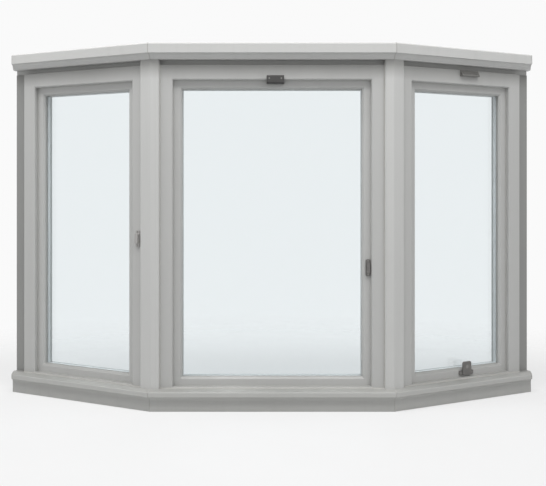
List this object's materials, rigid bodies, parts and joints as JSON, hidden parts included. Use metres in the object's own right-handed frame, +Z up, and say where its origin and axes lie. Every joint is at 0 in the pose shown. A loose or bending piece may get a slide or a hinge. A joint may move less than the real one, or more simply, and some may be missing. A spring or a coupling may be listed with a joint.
{
  "type": "bay window",
  "caption": "Angled bay window: a wide front light between two slanted side lights on a mitred sill, under a coved fascia, with corner posts and boards at head and seat.",
  "frame": {"origin": "on the wall plane at mid width, level with the underside", "axes": "+X along the wall to the right as seen from outside, -Y out of the building, +Z up"},
  "size_m": [2.138, 0.489, 1.391],
  "materials": {
    "board_upvc": "satin extruded plastic",
    "sill_upvc": "satin extruded plastic",
    "fascia_upvc": "satin extruded plastic",
    "post_upvc": "satin extruded plastic",
    "frame_upvc": "satin extruded plastic",
    "sash_upvc": "satin extruded plastic",
    "glass": "clear float glass",
    "spacer_aluminium": "mill finish roll-formed strip",
    "seal_rubber": "matt extruded rubber",
    "outer_hardware": "dark grey powder coat",
    "inner_hardware": "light grey powder coat"
  },
  "bodies": {
    "root": {"seat_board": "board_upvc", "head_board": "board_upvc", "sill_left": "sill_upvc", "fascia_left": "fascia_upvc", "sill_front": "sill_upvc", "fascia_front": "fascia_upvc", "sill_right": "sill_upvc", "fascia_right": "fascia_upvc", "corner_post_left": "post_upvc", "corner_trim_left": "post_upvc", "wall_jamb_left": "post_upvc", "corner_post_right": "post_upvc", "corner_trim_right": "post_upvc", "wall_jamb_right": "post_upvc", "frame_left": "frame_upvc", "sash_left": "sash_upvc", "glass_left": "glass", "spacer_left": "spacer_aluminium", "bead_left": "sash_upvc", "seal_left": "seal_rubber", "frame_front": "frame_upvc", "sash_front": "sash_upvc", "glass_front": "glass", "spacer_front": "spacer_aluminium", "bead_front": "sash_upvc", "seal_front": "seal_rubber", "frame_right": "frame_upvc", "sash_right": "sash_upvc", "glass_right": "glass", "spacer_right": "spacer_aluminium", "bead_right": "sash_upvc", "seal_right": "seal_rubber", "outer_handle_left": "outer_hardware", "inner_handle_left": "inner_hardware", "outer_handle_front": "outer_hardware", "inner_handle_front": "inner_hardware", "outer_stay_right": "outer_hardware", "inner_handle_right": "inner_hardware", "top_catch_front": "outer_hardware", "vent_hood_right": "outer_hardware"}
  },
  "joints": []
}
